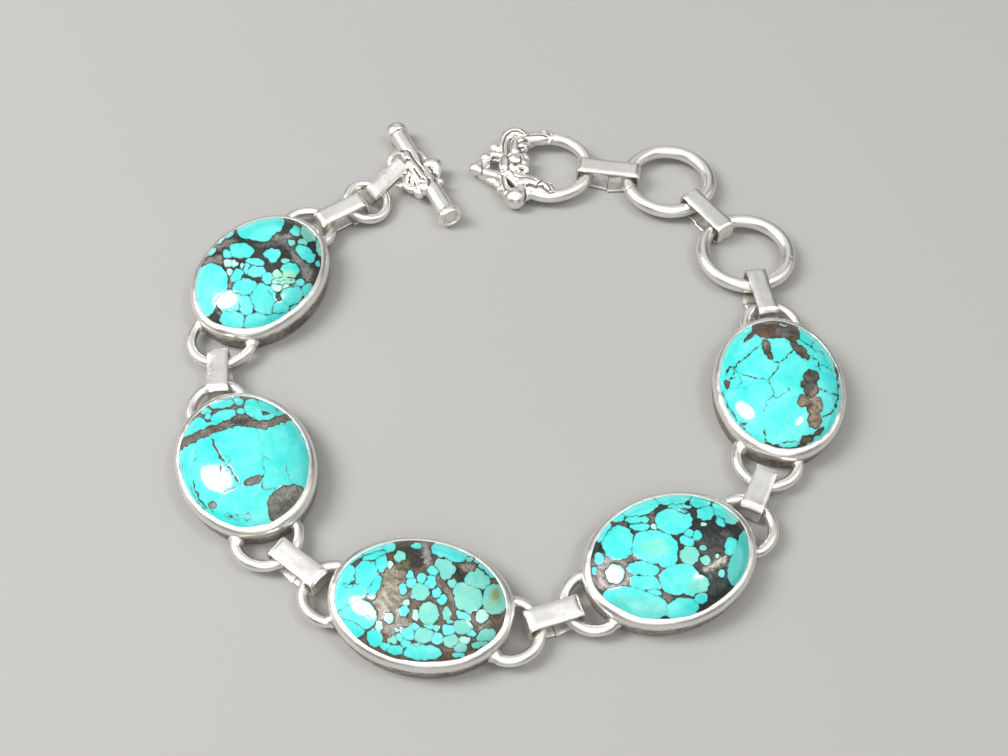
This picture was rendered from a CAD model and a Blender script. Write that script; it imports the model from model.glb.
import math

import bpy
import numpy as np
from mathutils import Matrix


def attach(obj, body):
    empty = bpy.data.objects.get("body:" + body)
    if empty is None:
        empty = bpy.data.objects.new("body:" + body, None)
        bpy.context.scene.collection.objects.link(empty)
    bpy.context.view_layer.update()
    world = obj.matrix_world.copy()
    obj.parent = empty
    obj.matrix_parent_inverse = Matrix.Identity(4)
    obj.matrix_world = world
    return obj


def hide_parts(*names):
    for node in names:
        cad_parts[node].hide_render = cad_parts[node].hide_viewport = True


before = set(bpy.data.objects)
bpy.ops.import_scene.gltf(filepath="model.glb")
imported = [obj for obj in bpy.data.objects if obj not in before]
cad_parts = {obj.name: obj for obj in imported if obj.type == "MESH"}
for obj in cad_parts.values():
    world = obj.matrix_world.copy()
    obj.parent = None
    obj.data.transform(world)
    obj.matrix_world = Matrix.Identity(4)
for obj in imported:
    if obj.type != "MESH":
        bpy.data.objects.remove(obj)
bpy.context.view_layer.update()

# The bracelet lies open on a pale table and is seen from its front, as a hand-held
# close shot sees it, from a little under sixty degrees above the table. Sizes are in mm,
# and MM turns them into Blender's metres.
MM = 0.001
VIEW_ANGLE = math.radians(55.54)
AIM = np.array([-0.6, -2.0, 0.0])
DISTANCE = 152.8
FOCAL_PX = 1200.0
PICTURE = (1008, 756)
SENSOR = 36.0
view_back = np.array([0.0, -math.cos(VIEW_ANGLE), math.sin(VIEW_ANGLE)])
view_up = np.array([0.0, math.sin(VIEW_ANGLE), math.cos(VIEW_ANGLE)])
camera_at = AIM + DISTANCE * view_back

camera_data = bpy.data.cameras.new("camera")
camera_data.sensor_width = SENSOR
camera_data.lens = SENSOR * FOCAL_PX / PICTURE[0]
camera_data.clip_start = 5 * MM
camera_data.dof.use_dof = False
camera = bpy.data.objects.new("camera", camera_data)
bpy.context.scene.collection.objects.link(camera)
camera.location = camera_at * MM
camera.rotation_euler = (math.pi / 2 - VIEW_ANGLE, 0, 0)
bpy.context.scene.camera = camera


# Soft studio light: a tall window on the left and a small lamp on the right, whose
# reflections show on the stones, inside a tent of pale panels that the silver mirrors.
def soft_light(name, azimuth, height, distance, wide, tall, power, tint):
    """A soft oval light that stands in that direction, in metres, and faces the bracelet."""
    lamp = bpy.data.lights.new(name, "AREA")
    lamp.shape = "ELLIPSE"
    lamp.size = wide
    lamp.size_y = tall
    lamp.energy = power
    lamp.color = tint
    box = bpy.data.objects.new(name, lamp)
    bpy.context.scene.collection.objects.link(box)
    a = math.radians(azimuth)
    h = math.radians(height)
    level = distance * math.cos(h)
    box.location = (level * math.cos(a), level * math.sin(a), distance * math.sin(h))
    box.rotation_euler = (math.pi / 2 - h, 0, a + math.pi / 2)


soft_light("window_left", 176, 50, 0.75, 0.30, 0.46, 4.9, (1.0, 0.985, 0.96))
soft_light("lamp_right", -10, 61, 0.9, 0.10, 0.10, 1.1, (1.0, 0.97, 0.93))
soft_light("tent_top", -90, 76, 0.95, 1.60, 1.60, 5.9, (1.0, 1.0, 0.995))
soft_light("tent_front", -90, 36, 1.15, 1.12, 1.12, 2.6, (1.0, 0.99, 0.97))
soft_light("tent_back", 90, 38, 1.15, 1.12, 1.12, 1.7, (0.98, 0.99, 1.0))
soft_light("tent_left", 180, 30, 1.15, 1.12, 1.12, 2.2, (1.0, 0.99, 0.97))
soft_light("tent_right", 0, 36, 1.15, 1.12, 1.12, 2.4, (1.0, 0.99, 0.97))

world = bpy.data.worlds.new("studio")
world.use_nodes = True
world.node_tree.nodes["Background"].inputs["Color"].default_value = (0.80, 0.82, 0.85, 1)
world.node_tree.nodes["Background"].inputs["Strength"].default_value = 0.15
bpy.context.scene.world = world
bpy.context.scene.view_settings.view_transform = "Standard"

# The table top, a plain pale sheet that only carries the light and the shadows. It lies a
# hair under the bezels, whose back plates rest on it.
TABLE = ((-1.5, -1.5, 0), (1.5, -1.5, 0), (1.5, 1.5, 0), (-1.5, 1.5, 0))
TABLE_DROP = 0.02
floor_mesh = bpy.data.meshes.new("table")
floor_mesh.from_pydata(TABLE, [], [(0, 1, 2, 3)])
floor = bpy.data.objects.new("table", floor_mesh)
bpy.context.scene.collection.objects.link(floor)
floor.location.z = -TABLE_DROP * MM
floor_finish = bpy.data.materials.new("table_top")
floor_finish.use_nodes = True
floor_shader = floor_finish.node_tree.nodes["Principled BSDF"]
floor_shader.inputs["Base Color"].default_value = (0.36, 0.355, 0.346, 1)
floor_shader.inputs["Roughness"].default_value = 0.75
floor_mesh.materials.append(floor_finish)


# The five stones: oval cabochons of spiderweb turquoise, ground to a dome and polished.
# Each is a crowd of blue-green nuggets held in a dark matrix. The web is laid out in the
# picture's own coordinates, where each nugget was read, and then falls on the dome.
# A setting is a stone's middle, the direction of its long axis, the half length and half
# width of its bezel, and the rise of its dome.
SETTINGS = [
    (-32.8, 12.55, 67.0, 10.70, 8.55, 4.2),
    (-31.3, -16.05, 118.0, 10.30, 8.15, 3.8),
    (-9.8, -33.95, -12.0, 10.55, 7.85, 3.7),
    (18.1, -28.55, 24.5, 10.35, 8.10, 3.6),
    (33.5, -5.15, 85.5, 10.55, 8.20, 3.8),
]
GIRDLE = 2.45
STONE_INSET = 0.54
SEAT = 0.66
POLISH_DROP = 0.015
VEIN_DEPTH = 0.045
RINGS_ROUND = 104
STEPS_ROUND = 288

MIDDLE_X = PICTURE[0] / 2
MIDDLE_Y = PICTURE[1] / 2

# In pixels of the picture: how far a nugget spreads past its oval, half the width of the
# seam between two that touch and how much it varies, and how far and over what length the
# edges wander, with a seed.
NUGGET_GROWTH = 0.7
SEAM = 0.52
SEAM_VARIES = 0.2
EDGE_WANDER = ((0.55, 8.0, 11), (0.22, 3.4, 51))
NUGGET_BLEND = 0.8

BLUE = (0.045, 0.65, 0.62)
SKY = (0.085, 0.69, 0.67)
GREEN = (0.145, 0.57, 0.485)
TEAL = (0.04, 0.50, 0.45)
PALE = (0.40, 0.76, 0.66)
BLACK = (0.020, 0.028, 0.026)
SLATE = (0.085, 0.095, 0.088)
ASH = (0.27, 0.26, 0.24)
UMBER = (0.080, 0.047, 0.033)
TAUPE = (0.25, 0.225, 0.16)
RUST = (0.17, 0.085, 0.045)
OLIVE = (0.12, 0.115, 0.06)
SOOT = (0.02, 0.018, 0.016)

# For each stone: whether it is all nuggets in matrix, or a field with veins; its matrix
# colour; nuggets (x, y, half sizes, turn, colour, where a row without a colour is one more
# lobe of the nugget before it); patches of other matrix (x, y, half sizes, turn, colour);
# areas that are matrix; stains that tint the nuggets; veins (half width, points).
WEBS = [
    {
        "crowded": True, "matrix": BLACK,
        "nuggets": [
            (260, 226, 23.5, 12, -11, BLUE), (262, 235, 9, 5.5, 0), (219, 238.5, 6.2, 3.4, -35, BLUE),
            (227.5, 233, 5, 4, -20, BLUE), (211.5, 251.5, 4, 1.9, -42, BLUE),
            (206.5, 253.5, 2.2, 2.2, 0, BLUE), (241, 250.5, 12, 6.7, 5, BLUE),
            (227.5, 253.3, 4.2, 3.8, 0, BLUE), (272.5, 254, 8, 4.6, 0, BLUE), (273, 258, 3.2, 3.6, 0),
            (295.8, 230.8, 4.8, 4.2, 0, BLUE), (308.3, 234.2, 9, 4.6, 40, GREEN),
            (291.7, 242.5, 2.7, 2.2, 0, GREEN), (303, 242, 3.7, 2.7, 5, GREEN),
            (305, 252.8, 10, 5.4, 40, BLUE), (310.5, 257.5, 4.4, 4.2, 0), (320.3, 247, 3.2, 9, -8, GREEN),
            (317.8, 263.7, 1.5, 2.5, 0, SKY), (255, 262, 8.6, 3.2, 10, SKY), (256, 271, 9.2, 5.2, 0, SKY),
            (247, 268, 3, 5, 0, SKY), (268.3, 278.3, 5, 5.2, 30, SKY), (236.7, 275, 6.8, 4.6, -35, SKY),
            (230.3, 272, 2.8, 3, 0, PALE), (228, 263.3, 3.6, 3, 0, PALE), (234, 263.5, 3.5, 3, 0, PALE),
            (242.5, 265.8, 1.4, 1.7, 0, PALE), (211, 281, 16, 16.5, 0, SKY), (204, 299, 11, 17, -8),
            (245, 286.7, 12, 7.2, -5, BLUE), (229, 301.5, 12, 11, 0, SKY),
            (246, 305.5, 6.5, 9.5, -10, SKY), (263.5, 299.5, 12, 15.8, -20, BLUE),
            (279, 308.5, 9.5, 6.5, 15, BLUE), (291.7, 295, 9.8, 10.5, 0, BLUE),
            (290, 270.5, 8.7, 7.4, 0, BLUE), (286, 260.8, 3.7, 2, 0, GREEN),
            (283.3, 280.8, 11.5, 3.7, -3, PALE), (277, 286.5, 5.2, 4, -10, PALE),
            (289, 286.8, 6.8, 2.6, 5, PALE), (278, 274.5, 4.8, 4, 0, PALE),
            (300.5, 282.5, 4, 2.7, 5, SKY), (308, 290.5, 5.5, 6.8, 0, BLUE),
            (233, 320, 12.5, 8.5, 12, SKY), (257, 321.5, 14.5, 8, -8, BLUE),
            (279, 317, 10, 4.6, -14, BLUE), (297, 309, 6, 5, -30, BLUE),
        ],
        "patches": [
            (222, 244, 14, 4, -20, (0.20, 0.185, 0.17)), (212, 261, 11, 4.5, -18, (0.21, 0.19, 0.18)),
            (225, 289, 8.5, 4, -40, (0.23, 0.235, 0.22)), (281, 237, 17, 2.6, -8, (0.24, 0.24, 0.22)),
            (268, 243, 12, 3, -12, SLATE), (291, 246, 14, 4, 28, (0.14, 0.145, 0.135)),
            (300, 262, 14, 4.5, 52, (0.20, 0.21, 0.19)), (308, 273, 6, 10, -20, (0.22, 0.23, 0.21)),
            (316, 279, 5, 7, 20, UMBER), (262, 256, 8, 6, 0, (0.034, 0.03, 0.024)),
            (269, 268, 8, 5, 0, (0.05, 0.042, 0.032)), (284, 224, 5, 5, 0, BLACK),
            (303, 221, 12, 4, 25, (0.06, 0.07, 0.065)),
        ],
        "areas": [(215.8, 315, 4.3, 4.3, 0)],
        "stains": [
            (286, 277, 11, 7, -5, (0.27, 0.62, 0.42)), (305, 236, 8, 5, 30, (0.16, 0.50, 0.42)),
        ],
        "veins": [
            (0.45, [(272, 284), (283, 285), (293, 283)]), (0.4, [(276, 281), (286, 280.5), (292, 280)]),
            (0.5, [(213, 301), (216, 299.5), (217, 303), (213.5, 304), (213, 301)]),
            (0.4, [(216, 295), (219, 294), (219, 297.5), (216, 297.5), (216, 295)]),
            (0.4, [(247, 263), (252, 266), (260, 265)]), (0.35, [(268, 290), (274, 300), (272, 312)]),
        ],
    },
    {
        "crowded": False, "matrix": (0.19, 0.165, 0.15),
        "nuggets": [
            (195.5, 426, 11, 6, -42, BLUE), (183, 440, 1.8, 5, 20, BLUE),
            (205.5, 410.8, 5.8, 2.8, 0, BLUE), (203, 405.5, 3, 1.6, -20, BLUE),
            (207.7, 416.3, 2.6, 2.8, 0, SKY), (223, 415.6, 13, 5.5, -16, BLUE),
            (221.5, 403.3, 13, 4.6, -5, BLUE), (229.7, 395.8, 11, 4.2, -4, BLUE), (238, 401, 5, 3.8, 0),
            (253, 407.5, 9.2, 9, 0, BLUE), (258, 414, 5, 4, 0), (241.3, 411, 4.4, 2.8, 0, BLUE),
            (266.5, 405.5, 11, 5.6, 28, BLUE), (281.5, 410, 6.8, 2.4, 35, BLUE),
            (277, 418.5, 3, 1.4, 10, BLUE), (268, 485, 7, 4, 25, BLUE),
        ],
        "patches": [
            (287, 500, 24, 18, -25, (0.15, 0.15, 0.12)), (296, 492, 10, 6, -20, (0.20, 0.20, 0.17)),
            (254, 480, 11, 5, -20, (0.19, 0.20, 0.18)), (190, 441, 13, 5, -34, (0.15, 0.12, 0.105)),
            (212, 505, 6, 5, 0, ASH), (240, 421, 9, 4, 0, (0.045, 0.05, 0.05)),
            (215, 427, 8, 4, -10, (0.11, 0.08, 0.065)), (268, 426, 12, 3.5, 0, (0.21, 0.18, 0.15)),
            (296, 417, 10, 6, 30, (0.07, 0.065, 0.055)), (216, 448, 3.5, 8, -25, (0.25, 0.15, 0.12)),
        ],
        "areas": [
            (236, 403, 63, 17.5, -7), (287, 500, 21, 14.5, -25), (276, 512, 8, 10, 0),
            (253.5, 480.5, 10, 4.6, -22), (212, 505, 5, 3.8, 0), (299, 412, 14, 9, 32),
        ],
        "veins": [
            (5.0, [(172, 452), (182, 443), (196, 436.5), (211, 430), (225, 425), (238, 421.5), (252, 423),
                (265, 425), (275, 421), (290, 416.5)]),
            (1.5, [(211.7, 440), (215, 446), (218, 452), (221.5, 458)]),
            (1.2, [(221.5, 458), (225.5, 462.5), (229.7, 468.3), (234.7, 476), (237.5, 481)]),
            (0.6, [(222, 460), (221, 468), (218.8, 475.8), (218.5, 480)]),
            (0.5, [(220.5, 471.5), (226, 470), (231.5, 471.7)]),
            (0.45, [(225, 456), (229, 456.5), (230, 461), (227, 463)]),
            (0.8, [(224, 492), (231, 489), (238, 486.5), (243, 482)]),
            (0.7, [(262, 478), (265, 473), (262.5, 466)]),
            (0.45, [(263, 450), (262, 458), (263.5, 466), (265, 473)]), (0.4, [(262, 457.5), (269, 458)]),
            (0.6, [(262, 480), (262, 487), (268, 490), (275, 488)]),
            (0.9, [(193, 481), (195.5, 491), (199.7, 500), (206, 508), (213, 511)]),
            (0.6, [(190, 484), (193, 494), (198, 503), (205, 511)]),
            (0.5, [(226, 518), (233, 515), (241, 515), (249.5, 513.5), (251, 521)]),
            (0.4, [(225, 516), (228, 513), (232, 516), (229, 519.5), (225, 516)]),
            (0.4, [(232, 518), (236, 515), (240, 518.5), (236, 521), (232, 518)]),
            (0.4, [(243, 516), (248, 512.5), (251, 517), (247, 522), (243, 516)]),
            (0.35, [(197, 446), (195, 460), (189.7, 471)]), (0.3, [(258, 430), (259, 440)]),
            (0.3, [(286, 462), (287, 472), (291, 481)]), (0.3, [(182, 462), (183, 471)]),
            (0.35, [(281, 425), (290, 423)]),
        ],
    },
    {
        "crowded": True, "matrix": (0.125, 0.095, 0.07),
        "nuggets": [
            (350, 556, 19, 5.5, -24, BLUE), (372, 549, 13, 4, -20, BLUE), (389, 546.5, 5.6, 4.8, 0, BLUE),
            (374, 556, 12, 3.2, -20, BLUE), (366.5, 574, 11, 14.5, 12, BLUE),
            (381, 563, 5.2, 8.5, 10, BLUE), (341, 573, 14, 11.5, 0, SKY), (343, 598, 15, 14, 0, SKY),
            (360, 590, 8, 7, 0), (357, 614, 19, 15, 20, SKY), (352, 626, 13, 10, 35, BLUE),
            (374, 585.5, 5, 11, 25, BLUE), (374.5, 638, 7, 8.2, -10, BLUE),
            (400, 556, 5.4, 4.6, -20, GREEN), (390, 564, 2.2, 3, 0, PALE),
            (416.5, 545.5, 4.5, 2.4, 0, BLUE), (410.3, 575, 2.9, 3.8, 0, SKY),
            (411.2, 582.5, 4.2, 4.2, -30, SKY), (402.8, 589, 3, 5, -22, SKY),
            (422, 578.3, 4.4, 4.6, -10, SKY), (430.3, 582, 5.2, 5.8, 0, SKY),
            (433.3, 570, 4.8, 3.9, 0, SKY), (420.3, 591.7, 8.6, 8, -20, GREEN),
            (443.5, 565, 8, 7, 15, GREEN), (446, 572, 5.5, 7, -10), (450.5, 568.5, 5.5, 3.5, 20),
            (452, 583, 3.6, 3.6, 0, GREEN), (437, 593.3, 4.3, 4.8, -15, SKY), (442, 599, 4.4, 5, 0, SKY),
            (428.7, 613.3, 9.4, 11, 0, GREEN), (404, 611, 4.2, 4.6, 0, SKY),
            (406.5, 602.5, 2.4, 2.2, 0, PALE), (389, 618, 4, 4.6, 0, PALE), (415.8, 615, 2.2, 5, 5, PALE),
            (446.7, 614, 3.4, 6.4, 0, GREEN), (450, 622, 2.6, 2, 0, GREEN),
            (463.7, 615.8, 7.6, 3.8, 33, SKY), (462.8, 626.7, 8.8, 7, 0, GREEN),
            (448.7, 630, 5.8, 5.8, 0, SKY), (451.2, 640.8, 7, 6.3, 0, GREEN),
            (437, 638.3, 4.8, 5.4, 0, SKY), (464.5, 640.3, 5, 3, -5, PALE),
            (460.7, 647.5, 6, 4.7, 0, GREEN), (472, 633.3, 3.5, 2.6, 0, SKY),
            (486.5, 636, 9.4, 6, -28, GREEN), (481, 643.5, 9, 2.8, -22, GREEN),
            (458.7, 655, 5.2, 1.8, 0, SKY), (468.7, 598, 13.5, 14, 0, GREEN), (462, 591, 8, 8, 0),
            (495.3, 599, 12.5, 14.5, 0, GREEN), (477.8, 580, 12.2, 9, 0, GREEN), (481, 573, 6, 5, 0),
            (451, 551.5, 19.5, 8.6, 14, BLUE), (487, 570, 9.5, 4.6, 38, BLUE),
            (483, 560.5, 9.5, 3, 14, BLUE), (468.7, 558.5, 5, 2.6, 0, GREEN),
            (422, 652.5, 19, 7, 3, BLUE), (396, 650, 8.5, 4, 5, BLUE), (385.5, 646.5, 4.6, 3, 0, SKY),
            (408.7, 634, 6.5, 6.3, 0, SKY), (423, 635, 9.6, 7.5, 0, GREEN),
            (399.5, 637.5, 3.6, 3.3, 0, SKY), (392.8, 640, 4.8, 3, -15, GREEN),
            (405.8, 643.3, 4.2, 4, 0, BLUE), (397, 630, 1.4, 1.3, 0, PALE),
            (401.7, 630, 2.2, 1.8, 0, PALE), (436.3, 628, 2.6, 2.6, 0, SKY),
            (428.5, 627, 4.8, 2.4, 0, SKY), (378.7, 627, 3, 5.2, 15, PALE),
            (482, 616, 5.5, 6.5, 10, PALE), (417, 645, 3.2, 2.2, 0, GREEN), (415, 627, 4, 3, 0, SKY),
            (371, 596, 3.4, 2.4, 0, PALE),
        ],
        "patches": [
            (391, 592, 18, 32, 0, TAUPE), (392, 624, 16, 14, 0, (0.33, 0.31, 0.27)),
            (404, 555, 14, 15, 0, (0.05, 0.045, 0.032)), (416, 556, 18, 12, 10, (0.035, 0.03, 0.024)),
            (402, 564, 8, 6, 0, OLIVE), (388, 558, 6, 6, 0, RUST), (427, 556, 4, 16, -15, ASH),
            (437, 578, 4, 14, -30, (0.17, 0.16, 0.13)), (450, 596, 3.5, 14, -30, (0.24, 0.21, 0.17)),
            (462, 573, 9, 10, 0, (0.028, 0.028, 0.024)), (468, 567, 8, 5, 20, (0.26, 0.24, 0.19)),
            (420, 603, 14, 8, 0, (0.12, 0.085, 0.055)), (440, 612, 14, 14, 0, (0.13, 0.095, 0.07)),
            (447, 652, 9, 6, 0, RUST), (383.5, 637, 4, 5, 0, RUST),
            (496, 620, 9, 7, 0, (0.11, 0.08, 0.05)), (482, 620, 8, 8, 0, (0.22, 0.21, 0.18)),
            (340, 572, 20, 34, 0, SLATE), (425, 643, 26, 12, 0, (0.10, 0.09, 0.07)),
            (476, 590, 12, 20, 0, (0.03, 0.035, 0.03)),
        ],
        "areas": [],
        "stains": [
            (495.5, 596, 5, 8, 10, (0.25, 0.29, 0.12)), (468, 590, 8, 8, 0, (0.20, 0.58, 0.47)),
            (492, 606, 8, 6, 0, (0.17, 0.50, 0.38)), (428, 606, 6, 5, 0, (0.21, 0.60, 0.47)),
        ],
        "veins": [
            (0.4, [(345, 563), (357, 562), (361, 568)]), (0.4, [(357, 585), (350, 588), (344, 587)]),
            (0.35, [(442, 592), (440, 597), (436, 600)]), (0.35, [(350, 614), (364, 612), (371, 620)]),
        ],
    },
    {
        "crowded": True, "matrix": BLACK,
        "nuggets": [
            (640, 506.5, 19.5, 8.6, -20, BLUE), (672, 497.5, 18.5, 6.8, -2, BLUE),
            (679, 506.3, 11, 1.8, 2, BLUE), (700.5, 500.5, 10.2, 6.8, 0, BLUE),
            (706.3, 512.5, 8.6, 6.6, -15, BLUE), (725.5, 512.5, 15, 7.8, 36, BLUE),
            (721, 520.5, 3.6, 5.4, -30, BLUE), (673.8, 520.8, 18, 12.5, 0, BLUE),
            (681, 511, 7, 3, 20, SKY), (618, 517.5, 6.3, 3.7, -15, BLUE), (637, 519.5, 11, 4, 2, BLUE),
            (639.5, 526.5, 8.6, 3.5, 0, BLUE), (653.8, 526.7, 2.6, 2.6, 0, PALE),
            (603.8, 532.5, 10.5, 4.8, -55, BLUE), (618, 542.5, 15.5, 16.5, 0, BLUE),
            (654, 546.5, 23.5, 15.5, 6, BLUE), (667, 558, 10, 8.5, 0), (687, 540.8, 7, 4, 22, SKY),
            (689.5, 533.5, 4.4, 3.4, 20, BLUE), (697, 535.3, 4.3, 4.3, 0, BLUE),
            (689.7, 555, 8.8, 8.8, 0, GREEN), (706, 560.3, 4.3, 4.2, 0, GREEN),
            (731.3, 546.7, 5.5, 8.8, 0, BLUE), (740, 561, 9, 25, 15, TEAL), (746, 543, 6.5, 12, 0),
            (598.8, 558.3, 4, 5.4, 0, SKY), (593.8, 571, 1.3, 3.4, 0, SKY),
            (614.7, 574, 8.7, 9.2, 0, PALE), (643, 569, 15.5, 6.5, 5, BLUE), (646, 583, 16, 7.4, 9, BLUE),
            (653.5, 592, 7.6, 2.8, 12, BLUE), (679, 579, 20, 14.5, -12, BLUE),
            (695, 585, 13.5, 10.5, -12), (701.3, 597.5, 5.8, 5.4, 0, BLUE),
            (721.7, 573.3, 2.4, 3.4, 0, SKY), (635, 603.5, 33, 15, 12, BLUE),
            (682, 609, 16, 10, -12, BLUE), (703, 547.5, 3.2, 1.8, 0, GREEN),
            (717.5, 555.5, 1.5, 1.4, 0, PALE), (703.8, 524, 2, 1.1, 0, PALE),
        ],
        "patches": [
            (611, 571, 23, 20, 0, (0.27, 0.245, 0.235)), (622, 558, 14, 8, 0, (0.19, 0.165, 0.15)),
            (650, 520, 6, 9, 0, (0.16, 0.14, 0.12)), (716, 564, 13, 4.5, -32, (0.50, 0.46, 0.41)),
            (727, 534, 5, 3, 0, (0.16, 0.14, 0.13)), (712, 545, 13, 13, 0, (0.05, 0.055, 0.052)),
            (716, 582, 12, 14, 0, (0.03, 0.05, 0.04)), (661, 574, 6, 16, -20, (0.16, 0.14, 0.12)),
            (666, 597, 6, 5, 0, (0.16, 0.13, 0.11)), (617, 524, 9, 6, 0, (0.15, 0.13, 0.12)),
            (664, 524, 4, 10, 0, (0.10, 0.09, 0.08)),
        ],
        "areas": [],
        "stains": [
            (655, 547, 14, 9, 6, (0.125, 0.62, 0.50)), (640, 606, 28, 10, 12, (0.085, 0.56, 0.50)),
            (700, 585, 12, 10, -12, (0.12, 0.58, 0.48)), (733, 518, 10, 8, 36, (0.13, 0.58, 0.50)),
        ],
        "veins": [
            (0.35, [(666, 605), (667, 612), (667, 620)]), (0.35, [(670, 507), (680, 504.5), (688, 508)]),
        ],
    },
    {
        "crowded": False, "matrix": (0.085, 0.06, 0.045),
        "nuggets": [
            (788, 445.3, 9.5, 2.2, 0, BLUE), (796, 440, 2, 1.2, -20, SKY), (783, 325, 4, 1.2, 5, ASH),
        ],
        "patches": [
            (776, 327, 22, 10, -3, UMBER), (783, 331, 7, 6, 0, (0.12, 0.11, 0.10)),
            (764, 337, 7, 5, -20, RUST), (800, 350, 14, 6, 44, (0.13, 0.095, 0.07)),
            (766, 349, 5, 9, -12, (0.20, 0.18, 0.14)), (811, 376, 8, 6, 0, (0.34, 0.29, 0.22)),
            (811, 389, 8, 8, 0, (0.31, 0.25, 0.17)), (803, 400, 6, 7, 0, (0.25, 0.17, 0.095)),
            (815, 405, 9, 10, 0, (0.29, 0.24, 0.16)), (815, 420, 8, 9, 0, (0.22, 0.17, 0.10)),
            (810, 405, 3, 5, 40, (0.04, 0.025, 0.02)), (727, 384, 5, 7, 0, (0.15, 0.10, 0.06)),
            (748, 424, 8, 4, 0, ASH), (806, 438, 8, 5, 0, (0.10, 0.055, 0.03)),
            (836, 385, 8, 40, 0, (0.05, 0.05, 0.045)), (776, 375, 44, 30, 0, (0.075, 0.07, 0.06)),
        ],
        "areas": [
            (775, 327, 24, 11.5, -3), (792, 334, 9, 7, 20), (750, 336, 9, 2.2, -40),
            (766.5, 347, 4.6, 8.5, -10), (769.5, 355, 3, 5, -30), (800, 350, 13.5, 4.8, 44),
            (811.3, 376.5, 8.6, 7.2, 0), (811.3, 389, 7.6, 8.5, 0), (803.5, 400.5, 6, 7, 0),
            (804, 384, 4, 4, 0), (814.7, 405.3, 9, 10, 0), (814.7, 420.3, 7.4, 9, 0),
            (786, 447, 24, 3.2, -3), (807, 439.5, 8, 4.4, -28), (768, 445, 5, 2.4, 10),
            (819, 432, 7, 3, -40), (727, 384.5, 3.2, 4.6, 0), (837, 368, 2.6, 9, -10),
            (743.5, 424, 3, 1.8, 0), (764.5, 433, 1.2, 3, 0),
        ],
        "veins": [
            (0.75, [(736.3, 363.7), (743.8, 358.7), (751.3, 352), (758, 346.5), (762.5, 342)]),
            (0.7, [(770.5, 357.8), (775, 361.5), (779.7, 363), (776.3, 370.3), (771.3, 376.2),
                (768, 379.5)]),
            (0.9, [(779.7, 362.5), (787, 357), (789, 353.5), (794, 350)]),
            (0.7, [(768, 379.5), (758, 378.7), (748, 376.2), (739, 373.5), (734, 368)]),
            (0.9, [(730, 366.5), (735.5, 367), (736.3, 363.7)]),
            (0.6, [(768, 379.5), (772, 387), (774.7, 395.3)]),
            (0.55, [(774.7, 395.3), (769, 399), (766, 403), (763.8, 412)]),
            (0.6, [(774, 397), (779, 398), (782, 393.5), (789.7, 390.3), (788, 388)]),
            (0.7, [(725.5, 375.3), (727.5, 370), (732, 367), (734.7, 372), (731.5, 378.5), (727, 381)]),
            (0.4, [(729.7, 388.7), (738, 387.8), (746.5, 387.5)]),
            (0.5, [(733, 378), (739, 375.5), (742, 382), (738, 386)]),
            (0.5, [(816, 366.5), (824.7, 365.3), (831.3, 370)]),
            (0.8, [(820, 388), (828, 392), (836.3, 395.3)]),
            (0.9, [(836, 372), (838, 385), (838, 398), (835.5, 407), (830.5, 414), (823.5, 417)]),
            (0.6, [(794, 321), (808, 330), (818, 336.5), (823, 343)]),
            (0.7, [(790, 330), (801, 340.3), (809.7, 345.3), (815, 350), (824, 353)]),
            (0.5, [(809.7, 345.3), (816, 340), (825, 339.5), (830, 345)]),
            (0.5, [(812, 356), (818, 362), (820, 370)]), (0.6, [(763.8, 427), (764.5, 434), (766, 442)]),
            (0.6, [(742, 424), (748, 424), (755, 422)]),
            (0.8, [(764, 443.5), (773, 447), (783, 443), (796, 441.5), (803, 443)]),
            (0.6, [(722, 392), (729, 408), (740, 425), (754, 438)]),
        ],
    },
]


def ripple(points, wavelength, seed):
    """A smooth random field between about -1 and 1, for points of two or three columns."""
    waves = 10
    usual_sum = 3.2
    draw = np.random.default_rng(seed)
    total = np.zeros(len(points))
    for _ in range(waves):
        way = draw.normal(size=points.shape[1])
        way *= 2 * math.pi / wavelength * draw.uniform(0.6, 1.5) / np.linalg.norm(way)
        total += np.sin(points @ way + draw.uniform(0, 2 * math.pi))
    return total / usual_sum


def picture_place(points):
    """Where points in mm fall in the picture, in its pixels."""
    away = points - camera_at
    depth = -(away @ view_back)
    right = MIDDLE_X + FOCAL_PX * away[:, 0] / depth
    down = MIDDLE_Y - FOCAL_PX * (away @ view_up) / depth
    return np.stack([right, down], 1)


def oval_depth(at, oval):
    """Signed distance outside an oval, about right near its edge."""
    x, y, half_x, half_y, turn = oval[:5]
    c = math.cos(math.radians(turn))
    s = math.sin(math.radians(turn))
    u = (at[:, 0] - x) * c + (at[:, 1] - y) * s
    v = -(at[:, 0] - x) * s + (at[:, 1] - y) * c
    reach = np.hypot(u / half_x, v / half_y)
    slope = np.hypot(u / half_x**2, v / half_y**2) / np.maximum(reach, 1e-6)
    return (reach - 1) / np.maximum(slope, 1e-6)


def line_distance(at, points):
    """Distance from a line of straight stretches through the points."""
    nearest = np.full(len(at), 1e9)
    for p, q in zip(points[:-1], points[1:]):
        p = np.array(p, float)
        d = np.array(q, float) - p
        t = np.clip(((at - p) @ d) / (d @ d), 0, 1)
        nearest = np.minimum(nearest, np.linalg.norm(at - p - t[:, None] * d, axis=1))
    return nearest


def mixed(colours, cover, over):
    """One colour laid over others where the cover, from 0 to 1, says so."""
    return colours * (1 - cover[:, None]) + np.array(over) * cover[:, None]


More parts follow.
